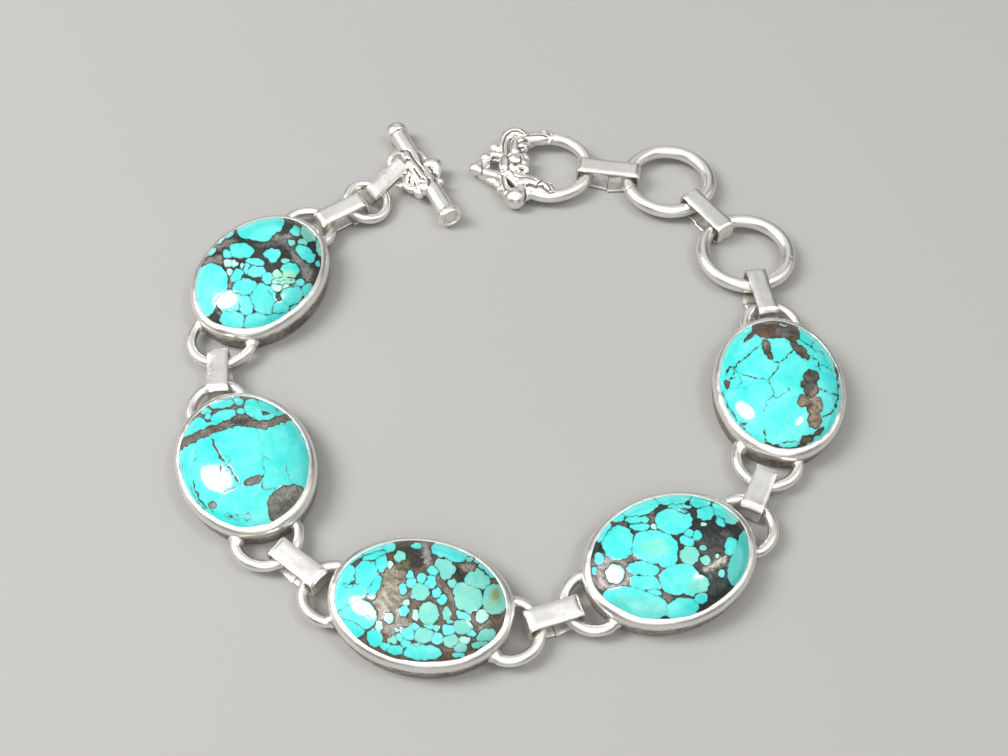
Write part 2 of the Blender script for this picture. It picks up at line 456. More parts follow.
def web_on(points, number):
    """The web of one stone: depth into the matrix in pixels, and the two colours."""
    web = WEBS[number]
    at = picture_place(points)
    for shift, length, seed in EDGE_WANDER:
        right = ripple(at, length, seed + number)
        down = ripple(at, length, seed + 20 + number)
        at = at + shift * np.stack([right, down], 1)
    depths = []
    colours = []
    for row in web["nuggets"]:
        if len(row) == 6:
            depths.append(oval_depth(at, row))
            colours.append(row[5])
        else:
            depths[-1] = np.minimum(depths[-1], oval_depth(at, row))
    depths = np.stack(depths)
    colours = np.array(colours)
    order = np.argsort(depths, axis=0)
    first = np.take_along_axis(depths, order[:1], 0)[0]
    second = np.take_along_axis(depths, order[1:2], 0)[0]
    seam = SEAM + SEAM_VARIES * ripple(at, 14.0, 91 + number)
    growth = NUGGET_GROWTH if web["crowded"] else 0
    depth = np.maximum(first - growth, seam - (second - first) / 2)
    areas = [-oval_depth(at, area) for area in web["areas"]]
    if not web["crowded"]:
        field = np.max([np.full(len(at), -6.0)] + areas, axis=0)
        depth = np.minimum(field, np.where(first < 3.0, depth, 99.0))
    for half_width, line in web["veins"]:
        swell = 0.88 * half_width + min(0.42 * half_width, 0.5) * ripple(at, 7.0, 17 + number)
        depth = np.maximum(depth, swell - line_distance(at, line))
    if web["crowded"]:
        depth = np.max([depth] + areas, axis=0)
        weight = np.exp(-np.clip(depths, -12, 12) / NUGGET_BLEND)
        body = (weight / weight.sum(0)).T @ colours
    else:
        field_blue = np.tile(BLUE, (len(at), 1))
        body = mixed(field_blue, np.clip(0.5 - first / 3, 0, 1), colours[order[0]])
    for stain in web.get("stains", []):
        body = mixed(body, np.clip(0.5 - oval_depth(at, stain) / 6, 0, 1), stain[5])
    matrix = np.tile(web["matrix"], (len(at), 1))
    for patch in web["patches"]:
        cover = np.clip(0.5 - oval_depth(at, patch) / 4 + 0.3 * ripple(at, 5.0, 5), 0, 1)
        matrix = mixed(matrix, cover, patch[5])
    return depth, body, matrix


def turned(points, roll, pitch, yaw):
    """Roll about X, then pitch about Y, then turn about Z, in degrees."""
    a, b, c = (math.radians(v) for v in (roll, pitch, yaw))
    about_x = np.array([[1, 0, 0], [0, math.cos(a), -math.sin(a)], [0, math.sin(a), math.cos(a)]])
    about_y = np.array([[math.cos(b), 0, math.sin(b)], [0, 1, 0], [-math.sin(b), 0, math.cos(b)]])
    about_z = np.array([[math.cos(c), -math.sin(c), 0], [math.sin(c), math.cos(c), 0], [0, 0, 1]])
    return points @ (about_z @ about_y @ about_x).T


def solid(name, points, faces):
    """A new smooth mesh object from points in mm."""
    mesh = bpy.data.meshes.new(name)
    mesh.from_pydata((np.asarray(points) * MM).tolist(), [], [tuple(int(i) for i in f) for f in faces])
    mesh.validate()
    mesh.shade_smooth()
    made = bpy.data.objects.new(name, mesh)
    bpy.context.scene.collection.objects.link(made)
    return made


def paint(piece, name, values):
    """Lays a number or a colour on each point of a piece, for its finish to read."""
    values = np.asarray(values, np.float32)
    if values.ndim == 1:
        piece.data.attributes.new(name, "FLOAT", "POINT").data.foreach_set("value", values)
    else:
        opaque = np.concatenate([values, np.ones((len(values), 1), np.float32)], 1)
        piece.data.attributes.new(name, "FLOAT_COLOR", "POINT").data.foreach_set("color", opaque.ravel())


class Wire:
    """A socket in a material, on which Python's own operators add Math nodes."""

    def __init__(self, tree, socket=None):
        self.tree = tree
        self.socket = socket

    def node(self, kind, settings=None, out=0, **links):
        """A new node. A socket goes by its name, or by i and its number."""
        made = self.tree.nodes.new(kind)
        for key, value in (settings or {}).items():
            setattr(made, key, value)
        for key, value in links.items():
            numbered = key[0] == "i" and key[1:].isdigit()
            feed(made.inputs[int(key[1:]) if numbered else key.replace("_", " ")], value)
        return Wire(self.tree, made.outputs[out])

    def maths(self, operation, other):
        return self.node("ShaderNodeMath", {"operation": operation}, i0=self, i1=other)

    def __add__(self, other):
        return self.maths("ADD", other)

    __radd__ = __add__

    def __mul__(self, other):
        return self.maths("MULTIPLY", other)

    __rmul__ = __mul__

    def __sub__(self, other):
        return self.maths("SUBTRACT", other)

    def __rsub__(self, other):
        return (self * -1.0) + other

    def step(self, low, high):
        """0 below low, 1 above high, smooth between them."""
        settings = {"interpolation_type": "SMOOTHSTEP", "clamp": True}
        return self.node("ShaderNodeMapRange", settings, Value=self, From_Min=low, From_Max=high)

    def tint(self, first, second):
        """first where this is 0, second where it is 1."""
        settings = {"data_type": "RGBA", "clamp_factor": True}
        return self.node("ShaderNodeMix", settings, out=2, i0=self, i6=first, i7=second)


def feed(slot, value):
    """Links a wire to a socket, or sets a plain number, colour or vector on it."""
    if isinstance(value, Wire):
        value.tree.links.new(value.socket, slot)
    elif slot.type == "RGBA":
        slot.default_value = (*value, 1)
    else:
        slot.default_value = value


def new_finish(name):
    """An empty material, the place on the object as a wire, and the shader."""
    finish = bpy.data.materials.new(name)
    finish.use_nodes = True
    place = Wire(finish.node_tree).node("ShaderNodeTexCoord", out="Object")
    return finish, place, finish.node_tree.nodes["Principled BSDF"]


def plug(shader, **values):
    """Sets or links the shader's own sockets by their names."""
    for key, value in values.items():
        feed(shader.inputs[key.replace("_", " ")], value)


def noise(place, scale, detail=3.0, rough=0.5, warp=0.0):
    links = {"Vector": place, "Scale": scale, "Detail": detail, "Roughness": rough, "Distortion": warp}
    return place.node("ShaderNodeTexNoise", **links)


def painted(place, name, out):
    """What paint() laid on the points: out is Fac for a number, Color for a colour."""
    return place.node("ShaderNodeAttribute", {"attribute_name": name}, out)


def shifted(colour, **amounts):
    """The same colour with its value or saturation changed."""
    return colour.node("ShaderNodeHueSaturation", None, Color=colour, **amounts)


def turquoise_finish():
    """Polished blue nuggets with a clear gloss, and dull brown and black matrix between."""
    finish, place, shader = new_finish("turquoise")
    depth = painted(place, "matrix_depth", "Fac")
    body = painted(place, "nugget_colour", "Color")
    matrix = painted(place, "matrix_colour", "Color")
    edge = depth + (noise(place, 2600, 4, 0.6) - 0.5) * 0.5
    rock = edge.step(-0.25, 0.45)
    rim = edge.step(-1.7, -0.1)
    cloud = noise(place, 420, 4, 0.55, 0.6).step(0.35, 0.7)
    blue = cloud.tint(body, shifted(body, Value=1.10, Saturation=0.90))
    fleck = noise(place, 3800, 2, 0.5).step(0.60, 0.74)
    blue = (fleck * 0.25).tint(blue, (0.42, 0.80, 0.76))
    blue = (rim * 0.30).tint(blue, (0.06, 0.45, 0.42))
    streak = noise(place, 900, 6, 0.7, 1.2)
    pale_matrix = shifted(matrix, Value=1.35, Saturation=0.95)
    stone = streak.step(0.34, 0.70).tint(shifted(matrix, Value=0.55), pale_matrix)
    stone = noise(place, 2300, 3, 0.6).step(0.55, 0.75).tint(stone, SOOT)
    line = edge.step(0.0, 0.5) * (1 - edge.step(0.8, 2.0))
    stone = (line * 0.8).tint(stone, SOOT)
    grain = noise(place, 5200, 3, 0.6)
    bump = place.node("ShaderNodeBump", None, Strength=0.35, Distance=0.03 * MM, Height=grain * rock)
    rough = 0.13 + rock * 0.22 + (streak - 0.5) * 0.05
    plug(shader, Base_Color=rock.tint(blue, stone), Roughness=rough, Normal=bump, IOR=1.45)
    plug(shader, Coat_Weight=0.75 - rock * 0.6, Coat_Roughness=0.04)
    plug(shader, Subsurface_Weight=0.04, Subsurface_Radius=(0.6 * MM, 1 * MM, 1 * MM))
    return finish


turquoise = turquoise_finish()
for number, (x, y, turn, long_half, wide_half, rise) in enumerate(SETTINGS):
    radius = long_half - STONE_INSET
    share = wide_half / long_half
    angle = np.linspace(0, 2 * math.pi, STEPS_ROUND, endpoint=False)
    rows = []
    for k in range(1, RINGS_ROUND + 1):
        lean = math.pi / 2 * (k / RINGS_ROUND) ** 0.92
        out = math.sin(lean)
        height = np.full(STEPS_ROUND, GIRDLE + rise * math.cos(lean))
        rows.append(np.stack([radius * out * np.cos(angle), radius * share * out * np.sin(angle), height], 1))
    rows.append(rows[-1] * [1, 1, 0] + [0, 0, SEAT])
    local = np.vstack([[[0, 0, GIRDLE + rise]]] + rows + [[[0, 0, SEAT]]])
    points = turned(local, 0, 0, turn) + [x, y, 0]
    faces = [(0, 1 + j, 1 + (j + 1) % STEPS_ROUND) for j in range(STEPS_ROUND)]
    for k in range(RINGS_ROUND):
        a = 1 + k * STEPS_ROUND
        b = a + STEPS_ROUND
        for j in range(STEPS_ROUND):
            after = (j + 1) % STEPS_ROUND
            faces.append((a + j, b + j, b + after, a + after))
    a = 1 + RINGS_ROUND * STEPS_ROUND
    last = len(points) - 1
    faces += [(last, a + (j + 1) % STEPS_ROUND, a + j) for j in range(STEPS_ROUND)]
    depth, body, matrix = web_on(points, number)
    normal = (points - [x, y, GIRDLE]) * [1, 1, 2.4]
    normal /= np.linalg.norm(normal, axis=1)[:, None]
    relief = -VEIN_DEPTH * np.clip(depth / 1.2, 0, 1) + 0.012 * ripple(points, 3.5, 7 + number)
    rough_stone = np.clip(depth / 2.5, 0, 1) * (0.03 * ripple(points, 0.9, 8) - 0.02)
    relief = np.where(points[:, 2] > GIRDLE + 0.4, relief + rough_stone - POLISH_DROP, 0)
    stone = solid(f"stone_{number + 1}", points + normal * relief[:, None], faces)
    paint(stone, "matrix_depth", depth)
    paint(stone, "nugget_colour", body)
    paint(stone, "matrix_colour", matrix)
    stone.data.materials.append(turquoise)
    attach(stone, "root")
    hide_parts(f"turquoise_{number + 1}")


# The bezels: a back plate, and a tall strip bent round the stone and soldered to it. The
# top of the strip is burnished over the stone with a hand tool, which leaves it a little
# uneven. Each has two loops of wire soldered on at its foot.
PLATE = 0.60
FOOT_TAPER = 0.45
WALL_BELLY = 0.05
WALL_STEPS = 232
SEAT_ROOM = 0.02
LIP = 0.97
# How far in from the rim and how high the softened lower edge runs, and how far inside the
# lip's edge and how far below it the lip turns down to the stone
LOWER_EDGE = ((1.4, 0), (0.62, 0), (0.50, 0.03))
LIP_EDGE = ((0.05, 0.03), (0.07, 0.10), (0.03, 0.22))

# Direction and reach of each stone's two loops
LOOPS = [
    ((60.0, 14.4), (247.5, 15.0)), ((118.5, 13.6), (-70.0, 14.2)), ((171.0, 14.1), (-16.0, 14.3)),
    ((209.0, 14.0), (27.0, 14.2)), ((-104.0, 14.5), (87.0, 14.1)),
]
LOOP_WIRE = 1.34
LOOP_RADIUS = 3.4
LOOP_Z = 1.6
LOOP_STEPS = 64
BAR_OUT = 0.05
FOOT_REACH = 1.45
FOOT_STEPS = 16
FOOT_TOE_IN = 0.38
SOLDER_SPREAD = 0.5
SOLDER_LENGTH = 0.42


def silver_finish(name, tarnish, matt):
    """Worn sterling: bright where it is handled, scratched, and dark in the corners."""
    finish, place, shader = new_finish(name)
    crease = painted(place, "crease", "Fac")
    worn = noise(place, 260, 5, 0.6, 0.4)
    fine = noise(place, 1700, 4, 0.65)
    stretch = place.node("ShaderNodeMapping", None, Vector=place, Rotation=(0.3, 0.2, 0.9), Scale=(1, 14, 6))
    scratch = noise(stretch, 500, 3, 0.6).step(0.56, 0.72)
    soiled = (crease + (worn - 0.5) * 0.7 + (fine - 0.5) * 0.7 + tarnish).step(0.33, 1.0)
    colour = worn.step(0.35, 0.7).tint((0.88, 0.855, 0.80), (0.97, 0.955, 0.92))
    colour = (scratch * 0.18).tint(colour, (0.62, 0.59, 0.54))
    colour = soiled.tint(colour, (0.165, 0.145, 0.115))
    rough = matt + worn * 0.12 + scratch * 0.10 + fine * 0.08 + soiled * 0.25
    height = fine * 0.35 + scratch * -0.5 + worn * 0.6
    bump = place.node("ShaderNodeBump", None, Strength=0.25, Distance=0.04 * MM, Height=height)
    plug(shader, Base_Color=colour, Metallic=1.0 - soiled * 0.35, Roughness=rough, Normal=bump)
    return finish


def band(a, b, count):
    """The faces between two rings of points that start at a and b."""
    return [(a + j, a + (j + 1) % count, b + (j + 1) % count, b + j) for j in range(count)]


def sweep(line, section, closed=True):
    """Points and faces of a tube: section(k) gives the points round the line at step k."""
    steps = len(line)
    rows = [section(k) for k in range(steps)]
    count = len(rows[0])
    faces = []
    for k in range(steps if closed else steps - 1):
        faces += band(k * count, (k + 1) % steps * count, count)
    if not closed:
        faces.append(tuple(range(count))[::-1])
        faces.append(tuple((steps - 1) * count + j for j in range(count)))
    return np.vstack(rows), faces


def toward(length, degrees):
    """A step of that length in that direction on the table."""
    return np.array([length * math.cos(math.radians(degrees)), length * math.sin(math.radians(degrees))])


def loop_bar(number):
    """How far from the stone's middle the wall stands behind the loops."""
    return SETTINGS[number][3] - FOOT_TAPER + BAR_OUT


def loop_round(number, reach):
    """How far out the middle of a loop's round lies, its radius, and its depth from the wall."""
    depth = reach - LOOP_WIRE / 2 - loop_bar(number)
    radius = max(LOOP_RADIUS, depth)
    return reach - LOOP_WIRE / 2 - radius, radius, depth


def loop_line(number, reach):
    """The middle line of a loop's wire, out and across, with feet that run into the wall."""
    middle, radius, depth = loop_round(number, reach)
    cut = math.acos((radius - depth) / radius)
    bend = [(middle + radius * math.cos(t), radius * math.sin(t)) for t in np.linspace(-cut, cut, LOOP_STEPS)]
    out, across = bend[-1]
    feet = [(out - r, across - FOOT_TOE_IN * r) for r in np.linspace(0, 1, FOOT_STEPS)[1:] * FOOT_REACH]
    return [(p, -q) for p, q in feet[::-1]] + bend + feet


def soldered_loop(line, past_foot, seed):
    """Points and faces of a level loop of round wire that swells into solder at its feet."""
    around = 28
    ahead = np.gradient(line, axis=0)
    ahead /= np.linalg.norm(ahead, axis=1)[:, None]
    side = np.cross(ahead, [0, 0, 1])
    side /= np.linalg.norm(side, axis=1)[:, None]
    lift = np.cross(side, ahead)
    spread = 1 + SOLDER_SPREAD * np.exp(-(np.clip(past_foot, 0, None) / SOLDER_LENGTH) ** 1.5)
    thick = LOOP_WIRE * spread / 2 * (1 + 0.012 * ripple(line, 3.0, seed))
    turn = np.linspace(0, 2 * math.pi, around, endpoint=False)

    def section(k):
        return line[k] + thick[k] * (np.cos(turn)[:, None] * side[k] + np.sin(turn)[:, None] * lift[k])

    return sweep(line, section, closed=False)


def joined(first, *others):
    """One closed skin round several that run into each other."""
    group = bpy.data.collections.new("joining")
    for other in others:
        group.objects.link(other)
    union = first.modifiers.new("join", "BOOLEAN")
    union.operation = "UNION"
    union.solver = "EXACT"
    union.operand_type = "COLLECTION"
    union.collection = group
    bpy.context.view_layer.update()
    result = bpy.data.meshes.new_from_object(first.evaluated_get(bpy.context.evaluated_depsgraph_get()))
    first.modifiers.clear()
    first.data = result
    for other in others:
        bpy.data.objects.remove(other)
    bpy.data.collections.remove(group)
    result.shade_smooth()
    return first


def tarnish_bezel(bezel, corners, setting):
    """Darkens the foot of the wall, the line inside the lip and the corners by the loops."""
    points = np.array([v.co for v in bezel.data.vertices]) / MM
    x, y, turn, long_half, wide_half, rise = setting
    outside = oval_depth(points[:, :2], (x, y, long_half, wide_half, turn))
    low = np.clip((GIRDLE + 0.45 - points[:, 2]) / 0.6, 0, 1)
    depth = 0.85 * low * np.clip(1 - outside / 0.3, 0, 1)
    depth = np.maximum(depth, 0.9 * np.clip((0.01 - outside - LIP) / 0.06, 0, 1))
    for middle, reach, amount in corners:
        near = np.linalg.norm(points - middle, axis=1)
        depth = np.maximum(depth, amount * np.clip(1.3 - near / reach, 0, 1))
    paint(bezel, "crease", depth)


silver = silver_finish("silver", 0.0, 0.22)
for number, (x, y, turn, long_half, wide_half, rise) in enumerate(SETTINGS):
    share = wide_half / long_half
    angle = np.linspace(0, 2 * math.pi, WALL_STEPS, endpoint=False)
    stone_radius = long_half - STONE_INSET
    around = np.stack([10 * np.cos(angle), 10 * np.sin(angle)], 1)
    lip = LIP + 0.05 * ripple(around, 9.0, 40 + number) + 0.02 * ripple(around, 2.5, 60 + number)
    dents = 0.018 * ripple(around, 4.0, 80 + number)
    lip_radius = long_half - lip
    lip_height = GIRDLE + rise * np.sqrt(1 - (lip_radius / stone_radius) ** 2) + 0.09
    rows = [(long_half - back, z) for back, z in LOWER_EDGE]
    rows.append((long_half - FOOT_TAPER + dents, 0.16))
    for t in (0.2, 0.4, 0.6, 0.8):
        flared = long_half - FOOT_TAPER * (1 - t) + WALL_BELLY * math.sin(math.pi * t)
        rows.append((flared + dents, GIRDLE * t))
    for t in np.linspace(0, math.pi / 2, 12):
        rolled = long_half - lip * (1 - math.cos(t)) ** 1.08
        rows.append((rolled + dents * math.cos(t), GIRDLE - 0.02 + (lip_height - GIRDLE) * math.sin(t)))
    rows += [(lip_radius - back, lip_height - drop) for back, drop in LIP_EDGE]
    rows.append((stone_radius - 0.06, GIRDLE + 0.5))
    rows += [(stone_radius + SEAT_ROOM, GIRDLE), (stone_radius + SEAT_ROOM, PLATE)]
    rings = [np.stack([r * np.cos(angle), r * share * np.sin(angle), z + 0 * angle], 1) for r, z in rows]
    local = np.vstack(rings + [[[0, 0, 0], [0, 0, PLATE]]])
    points = turned(local, 0, 0, turn) + [x, y, 0]
    faces = []
    for k in range(len(rows) - 1):
        faces += band(k * WALL_STEPS, (k + 1) * WALL_STEPS, WALL_STEPS)
    last = (len(rows) - 1) * WALL_STEPS
    faces += [(len(points) - 2, (j + 1) % WALL_STEPS, j) for j in range(WALL_STEPS)]
    faces += [(len(points) - 1, last + j, last + (j + 1) % WALL_STEPS) for j in range(WALL_STEPS)]
    cup = solid(f"bezel_cup_{number + 1}", points, faces)
    loops = []
    corners = []
    for side, (way, reach) in enumerate(LOOPS[number]):
        flat = loop_line(number, reach)
        end_out, end_across = flat[-1]
        out = toward(1.0, way)
        across = np.array([-out[1], out[0]])
        middle = np.array([x, y])
        line = np.array([np.append(middle + p * out + q * across, LOOP_Z) for p, q in flat])
        past_foot = np.array([p for p, q in flat]) - (end_out + 0.55)
        loops.append(solid("loop", *soldered_loop(line, past_foot, number * 2 + side)))
        for end in (-1, 1):
            foot = np.append(middle + (end_out + 0.75) * out + end * end_across * across, LOOP_Z)
            corners.append((foot + np.append(-end * 0.55 * across, 0.1), 1.1, 0.62))
            corners.append((foot + np.append(end * 0.55 * across, -0.3), 1.1, 0.70))
        corners.append((np.append(middle + (loop_bar(number) + 0.3) * out, LOOP_Z - 0.9), 2.2, 0.85))
    bezel = joined(cup, *loops)
    tarnish_bezel(bezel, corners, SETTINGS[number])
    bezel.data.materials.clear()
    bezel.data.materials.append(silver)
    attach(bezel, "root")
    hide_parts(f"bezel_{number + 1}")


# The straps: strips of silver with softened edges, folded round into flat links whose ends
# meet under the middle. The folds flare a little where the strip was bent round the wire,
# and the two ends of the strip seldom meet square.
SMALL_AT = np.array([-19.7, 26.55, 1.85])
RING_A_AT = np.array([32.1, 17.45, 1.6])
RING_B_AT = np.array([22.7, 30.75, 1.6])
TOGGLE_AT = np.array([5.8, 33.45, 1.6])
BAR_AT = np.array([-12.28, 32.35, 1.71])
BAR_TURN = 116.7
RING_RADIUS = 5.75
TOGGLE_RADIUS = 5.65
SMALL_RADIUS = 2.8
LUG_RADIUS = 1.75
LUG_ALONG = 2.5
LUG_OUT = 2.1
LUG_LEAN = 36
STRIP = 0.45
STRAP_FOLD = 0.85
SEAM_GAP = 0.05
EDGE_DROP = 0.17
EDGE_CUT = 0.07


def loop_end(number, side):
    """Middle and radius of the round of one bezel loop."""
    way, reach = LOOPS[number][side]
    middle, radius, _ = loop_round(number, reach)
    return np.array(SETTINGS[number][:2]) + toward(middle, way), radius


lug_at = BAR_AT[:2] + toward(LUG_ALONG, BAR_TURN) + toward(LUG_OUT, BAR_TURN + 90)
lug_end = (lug_at, LUG_RADIUS)
small_end = (SMALL_AT[:2], SMALL_RADIUS)
ring_a_end = (RING_A_AT[:2], RING_RADIUS)
ring_b_end = (RING_B_AT[:2], RING_RADIUS)
toggle_end = (TOGGLE_AT[:2], TOGGLE_RADIUS)

# How a strap lies: pitch, roll, the height of its middle, its width and its height
LEVEL = (0, 0, 1.62, 2.64, 3.2)
LEANING = (4.1, 5, 2.00, 2.64, 3.2)
ON_LUG = (0, LUG_LEAN, 2.00, 2.2, 3.3)

# Name, the two ends it holds, length, shift along and across, extra turn, how it lies, and
# the place of the seam along it with how far the strip's two ends are skewed sideways there
STRAPS = [
    ("strap_bar_small", small_end, lug_end, 7.85, (-0.08, 0.23), -2.4, ON_LUG, (0.3, 0.0, 0.1)),
    ("strap_small_1", loop_end(0, 0), small_end, 7.22, (0.32, -0.31), -1.9, LEANING, (0.9, 0.1, -0.35)),
    ("strap_1_2", loop_end(0, 1), loop_end(1, 0), 6.64, (-0.06, -0.19), 2.2, LEVEL, (0.2, 0.2, 0.3)),
    ("strap_2_3", loop_end(1, 1), loop_end(2, 0), 7.20, (-0.12, -0.22), 2.3, LEVEL, (0.4, -0.3, -0.2)),
    ("strap_3_4", loop_end(2, 1), loop_end(3, 0), 6.67, (0.11, -0.22), -1.3, LEVEL, (-0.3, -0.3, -0.45)),
    ("strap_4_5", loop_end(3, 1), loop_end(4, 0), 6.38, (0.16, -0.34), -1.3, LEVEL, (0.2, 0.2, -0.1)),
    ("strap_5_a", loop_end(4, 1), ring_a_end, 7.50, (0, 0), 0, LEVEL, (-0.2, 0.7, 0.95)),
    ("strap_a_b", ring_a_end, ring_b_end, 8.30, (0, 0), 0, LEVEL, (0.5, 0.1, -0.1)),
    ("strap_b_toggle", ring_b_end, toggle_end, 9.03, (-0.02, 0), 0, LEVEL, (-0.1, 0.85, 0.55)),
]


def strip_path(length, height, seam):
    """The middle line of the folded strip from the seam round to the seam, with its normals."""
    a = length / 2 - STRIP / 2
    b = height / 2 - STRIP / 2
    r = STRAP_FOLD - STRIP / 2
    path = [(x, -b, 0, -1) for x in np.linspace(seam + SEAM_GAP, a - r, 26, endpoint=False)]
    for x, z, first in ((a - r, -b + r, -90), (a - r, b - r, 0), (-a + r, b - r, 90), (-a + r, -b + r, 180)):
        for t in np.linspace(first, first + 90, 13):
            c = math.cos(math.radians(t))
            s = math.sin(math.radians(t))
            path.append((x + r * c, z + r * s, c, s))
        if first == 0:
            path += [(a - r - (2 * a - 2 * r) * t, b, 0, 1) for t in np.linspace(0.02, 0.98, 40)]
        elif first != 180:
            end = 1 if first == -90 else -1
            path += [(end * a, end * (b - r) * t, end, 0) for t in (-0.5, 0.0, 0.5)]
    path += [(x, -b, 0, -1) for x in np.linspace(-a + r, seam - SEAM_GAP, 27)[1:]]
    return np.array(path)


def strip_profile(half):
    """Half of the strip's section is drawn from its crown out to its inner side, then mirrored."""
    outer = []
    for share in (0.0, 0.25, 0.45, 0.58, 0.68, 0.78, 0.86, 0.93, 0.975, 1.0):
        slope = np.clip((share - 0.5) / 0.5, 0, 1)
        outer.append((share * half, STRIP / 2 - EDGE_DROP * slope**1.8 - (EDGE_CUT if share == 1.0 else 0)))
    inner = [(half, 0.08 - STRIP / 2), (half - 0.03, 0.02 - STRIP / 2), (half - 0.1, -STRIP / 2)]
    inner.append((half * 0.5, -STRIP / 2))
    mirrored = [(-b, a) for b, a in inner[::-1]] + [(-b, a) for b, a in outer[:0:-1]]
    return np.array(outer + inner + [(0, -STRIP / 2)] + mirrored)


for number, (name, first, second, length, shift, twist, lie, cut) in enumerate(STRAPS):
    pitch, roll, lift, width, height = lie
    seam, skew_before, skew_after = cut
    half = width / 2
    path = strip_path(length, height, seam)
    profile = strip_profile(half)

    def section(k):
        x, z, normal_x, normal_z = path[k]
        b = profile[:, 0]
        a = profile[:, 1]
        in_fold = np.clip((abs(x) - (length / 2 - 1.1)) / 0.9, 0, 1)
        flare = math.copysign(in_fold, x) * (0.20 * (b / half) ** 2 - 0.05)
        sag = -0.05 * (1 - min(1, abs(x) / (length / 2 - 1)) ** 2) if normal_z > 0.9 else 0
        low = np.clip(-normal_z, 0, 1) * np.clip(1 - abs(x - seam) / (length / 2 - 0.9 + abs(seam)), 0, 1)
        skew = (skew_after if x > seam else skew_before) * low
        return np.stack([x + normal_x * a + flare, b + skew, z + normal_z * a + sag], 1)

    points, faces = sweep(path, section, closed=False)
    sideways = ripple(points, 3.0, number)
    upward = ripple(points, 2.5, number + 9)
    points = points + 0.012 * np.stack([0 * sideways, sideways, upward], 1)
    gap = second[0] - first[0]
    heading = math.degrees(math.atan2(gap[1], gap[0]))
    middle = (first[0] + second[0]) / 2 + toward((first[1] - second[1]) / 2 + shift[0], heading)
    middle = middle + toward(shift[1], heading + 90)
    points = turned(points, roll, -pitch, heading + twist) + np.append(middle, lift)
    strap = solid(name + "_strip", points, faces)
    strap.data.set_sharp_from_angle(angle=math.radians(50))
    inside = np.clip(0.25 - np.tile(profile[:, 1], len(path)) * 2.2, 0, 1) * 0.72
    top = np.clip(path[:, 3] * 4 - 3, 0, 1) * np.clip((length / 2 - 0.6 - np.abs(path[:, 0])) / 0.5, 0, 1)
    off_edge = np.tile(np.abs(profile[:, 0]) < half * 0.8, len(path))
    paint(strap, "crease", np.maximum(inside, 0.42 * np.repeat(top, len(profile)) * off_edge))
    strap.data.materials.append(silver)
    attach(strap, "root")
    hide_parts(name)


# The round rings: drawn wire bent round and closed with solder, so that each has a faint
# joint. Two large ones let the clasp close at different lengths, and a small one leans in
# the strap of the bar.
RING_WIRE = 1.84
SMALL_WIRE = 1.32


def bent_ring(radius, wire, joint, seed):
    """Points and faces of a level ring, and how dark its joint and its underside are."""
    angle = np.linspace(0, 2 * math.pi, 220, endpoint=False)
    wobble = 0.02 * ripple(np.stack([8 * np.cos(angle), 8 * np.sin(angle)], 1), 9.0, seed)
    line = np.stack([(radius + wobble) * np.cos(angle), (radius + wobble) * np.sin(angle), 0 * angle], 1)
    off = np.abs((np.degrees(angle) - joint + 180) % 360 - 180) * math.pi / 180 * radius
    pinch = 1 - 0.03 * np.exp(-(off / 0.12) ** 2) + 0.012 * np.exp(-((off - 0.35) / 0.2) ** 2)
    turn = np.linspace(0, 2 * math.pi, 40, endpoint=False)
    up = np.array([0, 0, 1])

    def section(k):
        out = np.array([math.cos(angle[k]), math.sin(angle[k]), 0])
        return line[k] + wire / 2 * pinch[k] * (np.cos(turn)[:, None] * out + np.sin(turn)[:, None] * up)

    soot = np.exp(-(np.repeat(off, len(turn)) / 0.16) ** 2) * 0.85
    soot = np.maximum(soot, np.tile(np.clip(-np.sin(turn) * 0.9 - 0.05, 0, 0.72), len(line)))
    return *sweep(line, section), soot


# Node, place, radius, wire, direction of its joint, lean with its direction, and seed
ROUND_RINGS = [
    ("small_ring", SMALL_AT, SMALL_RADIUS, SMALL_WIRE, 150, (20, 62), 3),
    ("ring_a", RING_A_AT, RING_RADIUS, RING_WIRE, -15, (0, 0), 4),
    ("ring_b", RING_B_AT, RING_RADIUS, RING_WIRE, 200, (0, 0), 5),
]
for node, place, radius, wire, joint, (lean, lean_way), seed in ROUND_RINGS:
    points, faces, soot = bent_ring(radius, wire, joint, seed)
    ring = solid(node + "_wire", turned(points, lean, 0, lean_way) + place, faces)
    paint(ring, "crease", soot)
    ring.data.materials.append(silver)
    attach(ring, "root")
    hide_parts(node)


